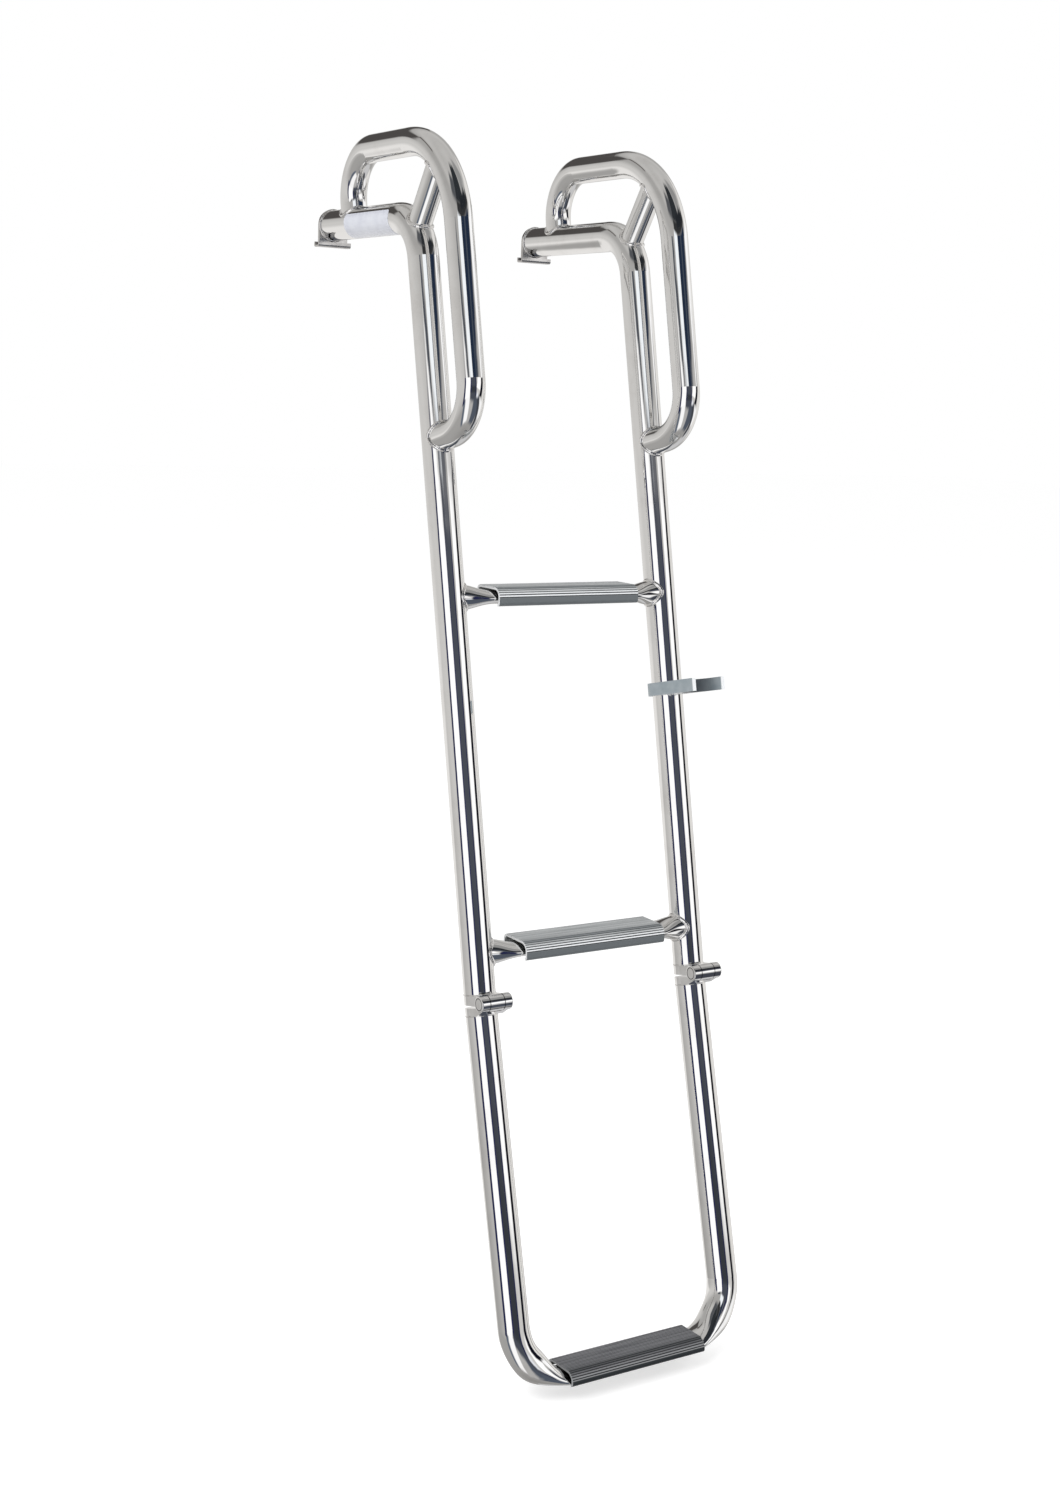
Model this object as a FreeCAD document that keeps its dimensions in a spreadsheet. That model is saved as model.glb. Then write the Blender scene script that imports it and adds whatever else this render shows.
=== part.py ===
"""Hook-on boat ladder with grab handles and a folding lower section, in polished stainless tube.

The origin is the middle of the left hook foot's underside. X runs across the ladder, Y inboard and Z up.
The arms and treads are level, and the stiles lean so that their feet stand further out.
"""
import FreeCAD, Part
import math
import os
import Sketcher
from FreeCAD import Placement, Rotation, Vector

doc = FreeCAD.newDocument("BoatLadder")

# Driving sizes in millimetres and degrees
SIZES = {
    # stiles and arms
    "stile_dia": 25.0,
    "tube_wall": 1.5,
    "stile_pitch": 200.0,
    "lean": 12.5,
    "arm_reach": 154.0,
    "foot_height": 18.0,
    "stile_bend": 41.0,
    "hinge_drop": 612.0,
    # grab handles and struts
    "weld_gap": 0.3,
    "handle_dia": 22.0,
    "handle_front": 58.0,
    "handle_back": 109.5,
    "handle_rise": 57.5,
    "handle_foot_drop": 174.0,
    "handle_front_bend": 81.0,
    "handle_back_bend": 35.0,
    "handle_foot_bend": 34.0,
    "strut_dia": 19.0,
    "strut_foot_angle": 146.5,
    "strut_head_angle": 139.5,
    # rungs and treads
    "upper_rung_drop": 298.0,
    "rung_spacing": 277.0,
    "rung_dia": 21.0,
    "rung_press_from": 5.0,
    "rung_press_to": 21.0,
    "rung_flat_thick": 13.0,
    "rung_flat_width": 29.0,
    "tread_end_gap": 22.0,
    "tread_front": 18.6,
    "tread_back": 17.0,
    "tread_wall": 2.0,
    "tread_nose": 8.0,
    "tread_heel": 3.0,
    "tread_lip": 3.3,
    "tread_curl": 6.5,
    "tread_curl_bend": 5.0,
    "tread_play": 0.3,
    "rung_tread_band": 14.6,
    "groove_width": 1.1,
    "groove_floor": 0.5,
    "groove_depth": 0.7,
    "groove_pitch": 2.0,
    "groove_count": 12,
    "nose_groove_pitch": 14.3,
    "nose_groove_count": 5,
    # hinges
    "hinge_offset": 21.0,
    "hinge_open": 2.9,
    "hinge_gap": 1.0,
    "knuckle_dia": 13.0,
    "knuckle_middle": 12.6,
    "knuckle_side": 7.0,
    "knuckle_play": 0.3,
    "knuckle_round": 0.9,
    "sweep_play": 0.6,
    "fitting_width": 24.0,
    "fitting_above": 5.5,
    "fitting_below": 9.5,
    "fitting_face": 2.2,
    "spigot_length": 12.0,
    "spigot_play": 0.3,
    "pin_dia": 6.0,
    "pin_play": 0.05,
    "pin_head_dia": 9.0,
    "pin_head_thick": 1.6,
    "pin_dome": 1.2,
    # lower section
    "bottom_drop": 296.0,
    "bottom_bend": 46.0,
    "bottom_flat_thick": 12.0,
    "bottom_flat_width": 29.5,
    "bottom_press_from": 45.0,
    "bottom_press_to": 77.0,
    "bottom_tread_reach": 9.0,
    "bottom_tread_lift": 1.5,
    "bottom_tread_band": 11.6,
    # hook feet
    "plate_thick": 3.0,
    "plate_width": 26.0,
    "strip_length": 30.0,
    "strip_width": 8.6,
    "strip_height": 4.3,
    "strip_wall": 1.6,
    "strip_corner": 2.0,
    # stowage clip
    "clip_above_hinge": 234.0,
    "clip_height": 10.5,
    "clip_wall": 3.0,
    "clip_play": 0.3,
    "clip_reach": 16.0,
}

# Places worked out from the driving sizes
LEAN_COS = "cos(Sizes.lean * 1 deg)"
LEAN_SIN = "sin(Sizes.lean * 1 deg)"
LEAN_TAN = "tan(Sizes.lean * 1 deg)"
HALF_BEND_TAN = "tan((90 + Sizes.lean) / 2 * 1 deg)"
TREAD_LEVELS = {
    f"{kind}_tread_{level}": f"Sizes.{kind}_flat_thick / 2 + Sizes.{lift} + Sizes.tread_wall {change}"
    for kind, lift in (("rung", "tread_play"), ("bottom", "bottom_tread_lift"))
    for level, change in (
        ("top", ""),
        ("top_in", "- Sizes.tread_wall"),
        ("low", f"- Sizes.{kind}_tread_band"),
        ("low_in", f"- Sizes.{kind}_tread_band + Sizes.tread_wall"),
        ("curl", "- Sizes.tread_curl"),
        ("nose", "- Sizes.tread_nose"),
    )
}
STEPS = {
    "upper": {"kind": "rung", "across": "none", "along": "upper_rung_z"},
    "middle": {"kind": "rung", "across": "none", "along": "middle_rung_z"},
    "bottom": {"kind": "bottom", "across": "bottom_across", "along": "bottom_z"},
}
NOSE_CENTRES = {}
for step, seat in STEPS.items():
    nose_level = seat["kind"] + "_tread_nose"
    NOSE_CENTRES[step + "_nose_y"] = f"{seat['across']} + nose_u * {LEAN_COS} - {nose_level} * {LEAN_SIN}"
    NOSE_CENTRES[step + "_nose_z"] = f"{seat['along']} + nose_u * {LEAN_SIN} + {nose_level} * {LEAN_COS}"
PLACES = {
    "none": "0",
    "tube_r": "Sizes.stile_dia / 2",
    "bore_r": "tube_r - Sizes.tube_wall",
    "handle_r": "Sizes.handle_dia / 2",
    "handle_bore_r": "handle_r - Sizes.tube_wall",
    "right_x": "Sizes.stile_pitch",
    "mid_x": "Sizes.stile_pitch / 2",
    "corner_y": "-Sizes.arm_reach",
    "arm_tube": "Sizes.arm_reach - Sizes.plate_thick / 2",
    "arm_end_y": f"arm_tube * {LEAN_COS}",
    "arm_end_z": f"arm_tube * {LEAN_SIN}",
    "stile_foot_z": "Sizes.fitting_above - Sizes.hinge_drop",
    "saddle_r": "tube_r + Sizes.weld_gap",
    "handle_front_y": "-Sizes.handle_front",
    "handle_foot_z": "-Sizes.handle_foot_drop",
    "handle_top_front_z": f"Sizes.handle_rise / {LEAN_COS} - Sizes.handle_front * {LEAN_TAN}",
    "handle_top_back_z": f"Sizes.handle_rise / {LEAN_COS} + Sizes.handle_back * {LEAN_TAN}",
    "handle_seat_z": f"Sizes.handle_back * {LEAN_TAN}",
    "stile_bend_z": f"-Sizes.stile_bend / {HALF_BEND_TAN}",
    "handle_bend_y": "handle_front_y + Sizes.handle_front_bend",
    "handle_bend_z": f"handle_top_front_z - Sizes.handle_front_bend / {HALF_BEND_TAN}",
    "strut_foot_y": "Sizes.stile_bend * (1 + cos(Sizes.strut_foot_angle * 1 deg))",
    "strut_foot_z": "stile_bend_z + Sizes.stile_bend * sin(Sizes.strut_foot_angle * 1 deg)",
    "strut_head_y": "handle_bend_y + Sizes.handle_front_bend * cos(Sizes.strut_head_angle * 1 deg)",
    "strut_head_z": "handle_bend_z + Sizes.handle_front_bend * sin(Sizes.strut_head_angle * 1 deg)",
    "strut_length": "sqrt((strut_head_y - strut_foot_y)^2 + (strut_head_z - strut_foot_z)^2)",
    "strut_tilt": "atan((strut_foot_y - strut_head_y) / (strut_head_z - strut_foot_z)) / 1 deg",
    "strut_r": "Sizes.strut_dia / 2",
    "strut_bore_r": "strut_r - Sizes.tube_wall",
    "strut_saddle_r": "handle_r + Sizes.weld_gap",
    "upper_rung_z": "-Sizes.upper_rung_drop",
    "middle_rung_z": "upper_rung_z - Sizes.rung_spacing",
    "rung_flat_half": "mid_x - Sizes.rung_press_to",
    "tread_length": "Sizes.stile_pitch - 2 * (tube_r + Sizes.tread_end_gap)",
    "tread_front_u": "-Sizes.tread_front",
    "tread_front_in": "tread_front_u + Sizes.tread_wall",
    "tread_back_in": "Sizes.tread_back - Sizes.tread_wall",
    "tread_lip_u": "tread_front_u + Sizes.tread_lip",
    "nose_in": "Sizes.tread_nose - Sizes.tread_wall",
    "curl_bend_in": "Sizes.tread_curl_bend - Sizes.tread_wall",
    "heel_in": "Sizes.tread_heel - Sizes.tread_wall",
    "nose_u": "Sizes.tread_nose - Sizes.tread_front",
    "groove_half": "Sizes.groove_width / 2",
    "groove_floor_half": "Sizes.groove_floor / 2",
    "groove_bottom": "Sizes.tread_nose - Sizes.groove_depth",
    "groove_rim": "Sizes.tread_nose + Sizes.groove_depth / 4",
    "groove_span": "Sizes.groove_pitch * (Sizes.groove_count - 1)",
    "nose_groove_span": "Sizes.nose_groove_pitch * (Sizes.nose_groove_count - 1)",
    **TREAD_LEVELS,
    "bottom_across": "Sizes.hinge_offset",
    "pivot_y": f"corner_y - Sizes.hinge_offset * {LEAN_COS} - Sizes.hinge_drop * {LEAN_SIN}",
    "pivot_z": f"Sizes.foot_height + Sizes.hinge_offset * {LEAN_SIN} - Sizes.hinge_drop * {LEAN_COS}",
    "lower_lean": "Sizes.lean + Sizes.hinge_open",
    "bottom_z": "-Sizes.bottom_drop",
    **NOSE_CENTRES,
    "knuckle_r": "Sizes.knuckle_dia / 2",
    "barrel_length": "Sizes.knuckle_middle + 2 * Sizes.knuckle_play + 2 * Sizes.knuckle_side",
    "pin_r": "Sizes.pin_dia / 2",
    "pin_bore_r": "pin_r + Sizes.pin_play",
    "pin_head_r": "Sizes.pin_head_dia / 2",
    "spigot_r": "bore_r - Sizes.spigot_play",
    "barrel_half": "barrel_length / 2",
    "upper_flange": "Sizes.fitting_face + Sizes.fitting_above",
    "lower_flange": "Sizes.fitting_below - Sizes.fitting_face - Sizes.hinge_gap",
    "middle_half": "Sizes.knuckle_middle / 2",
    "slot_width": "Sizes.knuckle_middle + 2 * Sizes.knuckle_play",
    "sweep_r": "knuckle_r + Sizes.sweep_play",
    "cheek_foot_y": "Sizes.hinge_offset - tube_r",
    "bore_cut": "2 * barrel_length",
    "recess_r": "pin_head_r + Sizes.pin_play",
    "recess_cut": "2 * Sizes.pin_head_thick",
    "shaft_from": "barrel_half - Sizes.pin_head_thick",
    "dome_end": "barrel_half + Sizes.pin_dome",
    "dome_round": "Sizes.pin_dome * 0.9",
    "lower_face_z": "-Sizes.fitting_face - Sizes.hinge_gap",
    "leg_length": "Sizes.bottom_drop - Sizes.bottom_bend - Sizes.fitting_below",
    "flat_half": "mid_x - Sizes.bottom_bend",
    "bottom_tread_length": "2 * (flat_half + Sizes.bottom_tread_reach)",
    "plate_half": "Sizes.plate_width / 2",
    "plate_round": "plate_half - Sizes.weld_gap",
    "plate_top": "Sizes.foot_height + plate_half",
    "strip_half": "Sizes.strip_width / 2",
    "strip_in": "strip_half - Sizes.strip_wall",
    "clip_z": "Sizes.clip_above_hinge - Sizes.hinge_drop",
    "clip_bore_r": "tube_r + Sizes.clip_play",
    "clip_outer_r": "clip_bore_r + Sizes.clip_wall",
    "clip_fold_y": "-2 * Sizes.hinge_offset",
    "clip_tip_y": "clip_fold_y - Sizes.clip_reach",
    "clip_seat_y": "clip_fold_y + clip_bore_r",
    "clip_outer_round": "clip_outer_r - Sizes.clip_play",
    "clip_inner_round": "clip_bore_r - Sizes.clip_play",
}


def fill_sheets():
    """Put the driving sizes in one sheet and the places worked out from them in another."""
    sizes = doc.addObject("Spreadsheet::Sheet", "Sizes")
    for row, (alias, value) in enumerate(SIZES.items(), start=1):
        sizes.set("A%d" % row, alias)
        sizes.set("B%d" % row, str(value))
        sizes.setAlias("B%d" % row, alias)
    doc.recompute()
    worked = doc.addObject("Spreadsheet::Sheet", "Places")
    for row, (alias, formula) in enumerate(PLACES.items(), start=1):
        worked.set("A%d" % row, alias)
        worked.set("B%d" % row, "=" + formula)
        worked.setAlias("B%d" % row, alias)
        worked.recompute()
    doc.recompute()
    return sizes, worked


sizes, worked = fill_sheets()


def val(name):
    """The number behind a name in either sheet."""
    return float(sizes.get(name) if name in SIZES else worked.get(name))


def ref(name):
    """The expression that reads a name from its sheet."""
    return ("Sizes." if name in SIZES else "Places.") + name


def bind(obj, prop, name, sign=""):
    """Tie a property to a named size."""
    obj.setExpression(prop, sign + ref(name))


def new_body(name, x, y, z, lean):
    """An empty body in its section's frame, leaned back about X."""
    body = doc.addObject("PartDesign::Body", name)
    body.Label = name
    body.Placement = Placement(Vector(), Rotation(Vector(-1, 0, 0), 1))
    bind(body, "Placement.Base.x", x)
    bind(body, "Placement.Base.y", y)
    bind(body, "Placement.Base.z", z)
    bind(body, "Placement.Rotation.Angle", lean)
    return body


def upper_body(name, x):
    """A body of the fixed section: its origin is the corner of stile and arm, Z runs up the stile."""
    return new_body(name, x, "corner_y", "foot_height", "lean")


def lower_body(name, x):
    """A body of the folding section: its origin is on the hinge pin, Z runs up the lower stile."""
    return new_body(name, x, "pivot_y", "pivot_z", "lower_lean")


def level_body(name, x):
    """A body that stands square on its hook foot."""
    return new_body(name, x, "none", "none", "none")


def new_sketch(body, role, label, offset=None, turn=None):
    """A sketch on one of the body's own planes, moved by named sizes and turned by an axis and angle."""
    plane = [f for f in body.Origin.OriginFeatures if f.Role == role][0]
    sketch = body.newObject("Sketcher::SketchObject", body.Label + "_" + label)
    sketch.AttachmentSupport = [(plane, "")]
    sketch.MapMode = "FlatFace"
    if turn:
        axis, angle = turn
        sketch.AttachmentOffset = Placement(Vector(), Rotation(axis, 1))
        bind(sketch, "AttachmentOffset.Rotation.Angle", angle)
    for letter, name in (offset or {}).items():
        sign = "-" if name.startswith("-") else ""
        bind(sketch, "AttachmentOffset.Base." + letter, name.lstrip("-"), sign)
    return sketch


def fix(sketch, kind, args, name, sign=""):
    """A dimension of a sketch, tied to a named size."""
    number = -val(name) if sign else val(name)
    index = sketch.addConstraint(Sketcher.Constraint(kind, *args, number))
    label = "d%d" % index
    sketch.renameConstraint(index, label)
    bind(sketch, "Constraints." + label, name, sign)


ORIGIN = (-1, 1)


def fix_point(sketch, geo, pos, x, y):
    """Tie a point of a sketch to two named sizes, measured from the sketch's origin."""
    for kind, name in (("DistanceX", x), ("DistanceY", y)):
        sign = "-" if name.startswith("-") else ""
        fix(sketch, kind, (*ORIGIN, geo, pos), name.lstrip("-"), sign)


def signed(name):
    """The number behind a name that may start with a minus."""
    return -val(name[1:]) if name.startswith("-") else val(name)


def add_circle(sketch, radius, x="none", y="none"):
    """A circle with a named radius and centre."""
    centre = Vector(signed(x), signed(y), 0)
    geo = sketch.addGeometry(Part.Circle(centre, Vector(0, 0, 1), val(radius)))
    fix(sketch, "Radius", (geo,), radius)
    fix_point(sketch, geo, 3, x, y)
    return geo


def add_outline(sketch, points, rounds, closed):
    """Straight runs between named points, with a tangent arc of a named radius at a rounded corner."""
    count = len(points)
    spots = [Vector(signed(x), signed(y), 0) for x, y in points]
    corners = {}
    for index, radius in rounds.items():
        before, here, after = spots[index - 1], spots[index], spots[(index + 1) % count]
        into = (before - here).normalize()
        out = (after - here).normalize()
        half = into.getAngle(out) / 2
        run = val(radius) / math.tan(half)
        centre = here + (into + out).normalize() * (val(radius) / math.sin(half))
        left_turn = (here - before).cross(after - here).z > 0
        corners[index] = (here + into * run, here + out * run, centre, left_turn)
    runs = []
    for index in range(count if closed else count - 1):
        after = (index + 1) % count
        start = corners[index][1] if index in corners else spots[index]
        end = corners[after][0] if after in corners else spots[after]
        runs.append(sketch.addGeometry(Part.LineSegment(start, end)))
    for index in range(count):
        line_in = runs[index - 1] if (index or closed) else None
        line_out = runs[index] if index < len(runs) else None
        if index not in corners:
            line, pos = (line_out, 1) if line_out is not None else (line_in, 2)
            fix_point(sketch, line, pos, *points[index])
            if line_in is not None and line_out is not None:
                sketch.addConstraint(Sketcher.Constraint("Coincident", line_in, 2, line_out, 1))
            continue
        start, end, centre, left_turn = corners[index]
        first, last = (start, end) if left_turn else (end, start)
        angles = [math.atan2((p - centre).y, (p - centre).x) for p in (first, last)]
        circle = Part.Circle(centre, Vector(0, 0, 1), val(rounds[index]))
        arc = sketch.addGeometry(Part.ArcOfCircle(circle, *angles))
        near, far = (1, 2) if left_turn else (2, 1)
        sketch.addConstraint(Sketcher.Constraint("Tangent", line_in, 2, arc, near))
        sketch.addConstraint(Sketcher.Constraint("Tangent", line_out, 1, arc, far))
        fix(sketch, "Radius", (arc,), rounds[index])
        corner = sketch.addGeometry(Part.Point(spots[index]), True)
        fix_point(sketch, corner, 1, *points[index])
        sketch.addConstraint(Sketcher.Constraint("PointOnObject", corner, 1, line_in))
        sketch.addConstraint(Sketcher.Constraint("PointOnObject", corner, 1, line_out))
    return len(runs) + len(corners)


def pad(body, sketch, length, name, midplane=False, reverse=False):
    """Thicken a sketch by a named length."""
    feature = body.newObject("PartDesign::Pad", body.Label + "_" + name)
    feature.Profile = sketch
    feature.Midplane = midplane
    feature.Reversed = reverse
    bind(feature, "Length", length)
    return feature


def pocket(body, sketch, length, name, midplane=False, reverse=False):
    """Cut a sketch into the body to a named depth, and make sure that it cuts."""
    before = solid_volume(body)
    feature = body.newObject("PartDesign::Pocket", body.Label + "_" + name)
    feature.Profile = sketch
    feature.Midplane = midplane
    feature.Reversed = reverse
    bind(feature, "Length", length)
    after = solid_volume(body)
    if after > before - 1e-3:
        raise RuntimeError("%s cuts nothing" % feature.Label)
    return feature


def turn_round(body, sketch, name):
    """Turn a sketch right round its own X axis."""
    feature = body.newObject("PartDesign::Revolution", body.Label + "_" + name)
    feature.Profile = sketch
    feature.ReferenceAxis = (sketch, ["H_Axis"])
    feature.Angle = 360
    doc.recompute()


def solid_volume(body):
    """The body's volume once all is worked out."""
    doc.recompute()
    return body.Shape.Volume


def pipe(body, profile, path, edge_count, name):
    """Sweep a profile along a path sketch."""
    feature = body.newObject("PartDesign::AdditivePipe", body.Label + "_" + name)
    feature.Profile = profile
    feature.Spine = (path, ["Edge%d" % (n + 1) for n in range(edge_count)])
    doc.recompute()
    return feature


def make_stile(name, x):
    """Stile and arm in one bent tube."""
    body = upper_body(name, x)
    path = new_sketch(body, "YZ_Plane", "path")
    points = [("none", "stile_foot_z"), ("none", "none"), ("arm_end_y", "arm_end_z")]
    edges = add_outline(path, points, {1: "stile_bend"}, closed=False)
    profile = new_sketch(body, "XY_Plane", "profile", {"z": "stile_foot_z"})
    add_circle(profile, "tube_r")
    add_circle(profile, "bore_r")
    pipe(body, profile, path, edges, "tube")
    return body


def make_handle(name, x):
    """Grab handle: one tube bent three times, with both ends cut to fit the tubes they are welded to."""
    body = upper_body(name, x)
    path = new_sketch(body, "YZ_Plane", "path")
    points = [
        ("none", "handle_foot_z"),
        ("handle_front_y", "handle_foot_z"),
        ("handle_front_y", "handle_top_front_z"),
        ("handle_back", "handle_top_back_z"),
        ("handle_back", "handle_seat_z"),
    ]
    bends = {1: "handle_foot_bend", 2: "handle_front_bend", 3: "handle_back_bend"}
    edges = add_outline(path, points, bends, closed=False)
    profile = new_sketch(body, "XZ_Plane", "profile", {"y": "handle_foot_z"})
    add_circle(profile, "handle_r")
    add_circle(profile, "handle_bore_r")
    pipe(body, profile, path, edges, "tube")
    stile_cut = new_sketch(body, "XY_Plane", "stile_saddle", {"z": "handle_foot_z"})
    add_circle(stile_cut, "saddle_r")
    pocket(body, stile_cut, "handle_front", "stile_cut", midplane=True)
    arm_cut = new_sketch(body, "XZ_Plane", "arm_saddle", turn=(Vector(1, 0, 0), "lean"))
    add_circle(arm_cut, "saddle_r")
    pocket(body, arm_cut, "arm_reach", "arm_cut")
    return body


def add_torus_cut(body, name, bend, section, y, z):
    """Cut the shape of a tube's bend out of the body."""
    plane = [f for f in body.Origin.OriginFeatures if f.Role == "YZ_Plane"][0]
    torus = body.newObject("PartDesign::SubtractiveTorus", body.Label + "_" + name)
    torus.AttachmentSupport = [(plane, "")]
    torus.MapMode = "FlatFace"
    bind(torus, "Radius1", bend)
    bind(torus, "Radius2", section)
    bind(torus, "AttachmentOffset.Base.x", y)
    bind(torus, "AttachmentOffset.Base.y", z)
    doc.recompute()


def make_strut(name, x):
    """Short tube from the stile's bend up to the handle's front bend, saddled at both ends."""
    body = upper_body(name, x)
    sketch = new_sketch(body, "XY_Plane", "profile", {"y": "strut_foot_y", "z": "strut_foot_z"},
                        turn=(Vector(1, 0, 0), "strut_tilt"))
    add_circle(sketch, "strut_r")
    add_circle(sketch, "strut_bore_r")
    pad(body, sketch, "strut_length", "tube")
    add_torus_cut(body, "stile_cut", "stile_bend", "saddle_r", "stile_bend", "stile_bend_z")
    add_torus_cut(body, "handle_cut", "handle_front_bend", "strut_saddle_r",
                  "handle_bend_y", "handle_bend_z")
    return body


def add_ellipse(sketch, thick, width, turn=0.0):
    """A flattened tube's outline, its short axis across the sketch's x before it is turned."""
    angle = math.radians(turn)
    long_way = Vector(-math.sin(angle), math.cos(angle), 0)
    short_way = Vector(math.cos(angle), math.sin(angle), 0)
    ellipse = Part.Ellipse(long_way * (width / 2), short_way * (thick / 2), Vector())
    sketch.addGeometry(ellipse)


def loft(body, kind, sketches, name, ruled=False):
    """Skin a row of outlines."""
    feature = body.newObject("PartDesign::" + kind, body.Label + "_" + name)
    feature.Profile = sketches[0]
    feature.Sections = sketches[1:]
    feature.Ruled = ruled
    doc.recompute()
    return feature


def pressed(share, round_size, flat_size):
    """A tube's height or width where it is pressed flat by a share, with a soft start and end."""
    share = min(max(share, 0.0), 1.0)
    share = share * share * (3 - 2 * share)
    return round_size + share * (flat_size - round_size)


def rung_section(body, height, side, reach, shrink, label):
    """One outline of a rung at its reach from the stile's axis: round there, flat under the tread."""
    section = new_sketch(body, "YZ_Plane", label, turn=(Vector(0, 0, 1), "lean"))
    placement = section.AttachmentOffset
    placement.Base = Vector(0, val(height), side * (val("stile_pitch") / 2 - reach))
    section.AttachmentOffset = placement
    share = (reach - val("rung_press_from")) / (val("rung_press_to") - val("rung_press_from"))
    thick = pressed(share, val("rung_dia"), val("rung_flat_thick"))
    width = pressed(share, val("rung_dia"), val("rung_flat_width")) + 0.01
    add_ellipse(section, thick - shrink, width - shrink, 90.0)
    return section


def make_rung(name, height):
    """Rung: a tube, round where it meets the stiles and pressed flat under its tread."""
    body = upper_body(name, "mid_x")
    rows = 6
    for word, shrink in (("tube", 0.0), ("bore", 2 * val("tube_wall"))):
        for side, hand in ((-1, "left"), (1, "right")):
            label = word + "_" + hand
            sections = []
            for row in range(rows):
                reach = val("rung_press_to") * row / (rows - 1)
                sections.append(rung_section(body, height, side, reach, shrink, "%s_%d" % (label, row)))
            inward = side > 0
            if word == "tube":
                loft(body, "AdditiveLoft", sections, label + "_end")
                pad(body, sections[-1], "rung_flat_half", label + "_flat", reverse=inward)
            else:
                loft(body, "SubtractiveLoft", sections, label + "_end")
                pocket(body, sections[-1], "rung_flat_half", label + "_flat", reverse=not inward)
    saddle = new_sketch(body, "XY_Plane", "saddles", {"z": height})
    for x in ("mid_x", "-mid_x"):
        add_circle(saddle, "saddle_r", x, "none")
    pocket(body, saddle, "stile_dia", "saddle_cut", midplane=True)
    return body


def repeat(body, kind, cut, amounts, name):
    """Repeat a cut in a row or round an axis, and make sure that it cuts."""
    before = solid_volume(body)
    feature = body.newObject("PartDesign::" + kind, body.Label + "_" + name)
    feature.Originals = [cut]
    if kind == "LinearPattern":
        feature.Direction = (cut.Profile[0], ["H_Axis"])
    else:
        feature.Axis = (cut.Profile[0], ["N_Axis"])
    for prop, size in amounts.items():
        bind(feature, prop, size)
    body.Tip = feature
    if solid_volume(body) > before - 1e-3:
        raise RuntimeError("%s cuts nothing" % feature.Label)


def make_tread(step, body, length):
    """Tread cover: an extrusion with a broad grooved nose, a grooved top and a curled back edge."""
    seat = STEPS[step]
    level = (Vector(0, 0, 1), "lean")
    words = ("top", "top_in", "low", "low_in", "curl")
    height = {word: seat["kind"] + "_tread_" + word for word in words}
    profile = new_sketch(body, "YZ_Plane", "profile", {"x": seat["across"], "y": seat["along"]}, level)
    points = [
        ("tread_lip_u", height["low"]),
        ("tread_front_u", height["low"]),
        ("tread_front_u", height["top"]),
        ("tread_back", height["top"]),
        ("tread_back", height["curl"]),
        ("tread_back_in", height["curl"]),
        ("tread_back_in", height["top_in"]),
        ("tread_front_in", height["top_in"]),
        ("tread_front_in", height["low_in"]),
        ("tread_lip_u", height["low_in"]),
    ]
    rounds = {
        1: "tread_heel",
        2: "tread_nose",
        3: "tread_curl_bend",
        6: "curl_bend_in",
        7: "nose_in",
        8: "heel_in",
    }
    add_outline(profile, points, rounds, closed=True)
    pad(body, profile, length, "cover", midplane=True)
    groove = new_sketch(body, "YZ_Plane", "groove", {"x": step + "_nose_y", "y": step + "_nose_z"}, level)
    corners = [
        ("-groove_half", "groove_rim"),
        ("-groove_floor_half", "groove_bottom"),
        ("groove_floor_half", "groove_bottom"),
        ("groove_half", "groove_rim"),
    ]
    add_outline(groove, corners, {}, closed=True)
    cut = pocket(body, groove, "stile_pitch", "groove_cut", midplane=True)
    top_row = {"Length": "groove_span", "Occurrences": "groove_count"}
    repeat(body, "LinearPattern", cut, top_row, "top_grooves")
    nose_row = {"Angle": "nose_groove_span", "Occurrences": "nose_groove_count"}
    repeat(body, "PolarPattern", cut, nose_row, "nose_grooves")
    return body


def make_upper_fitting(name, x):
    """Fixed half of a hinge: a plug in the stile's end with the middle knuckle in front of it."""
    body = new_body(name, x, "pivot_y", "pivot_z", "lean")
    flange = new_sketch(body, "XY_Plane", "flange", {"y": "hinge_offset", "z": "-fitting_face"})
    add_circle(flange, "tube_r")
    pad(body, flange, "upper_flange", "flange_pad")
    spigot = new_sketch(body, "XY_Plane", "spigot", {"y": "hinge_offset", "z": "fitting_above"})
    add_circle(spigot, "spigot_r")
    pad(body, spigot, "spigot_length", "spigot_pad")
    cheek = new_sketch(body, "YZ_Plane", "cheek")
    corners = [
        ("none", "-fitting_face"),
        ("hinge_offset", "-fitting_face"),
        ("hinge_offset", "fitting_above"),
        ("none", "fitting_above"),
    ]
    add_outline(cheek, corners, {}, closed=True)
    pad(body, cheek, "fitting_width", "cheek_pad", midplane=True)
    for hand, edge in (("left", "-middle_half"), ("right", "middle_half")):
        sweep = new_sketch(body, "YZ_Plane", hand + "_sweep", {"z": edge})
        add_circle(sweep, "sweep_r")
        pocket(body, sweep, "stile_dia", hand + "_sweep_cut", reverse=hand == "right")
    barrel = new_sketch(body, "YZ_Plane", "barrel")
    add_circle(barrel, "knuckle_r")
    pad(body, barrel, "knuckle_middle", "barrel_pad", midplane=True)
    bore = new_sketch(body, "YZ_Plane", "bore")
    add_circle(bore, "pin_bore_r")
    pocket(body, bore, "bore_cut", "bore_pocket", midplane=True)
    return body


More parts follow.
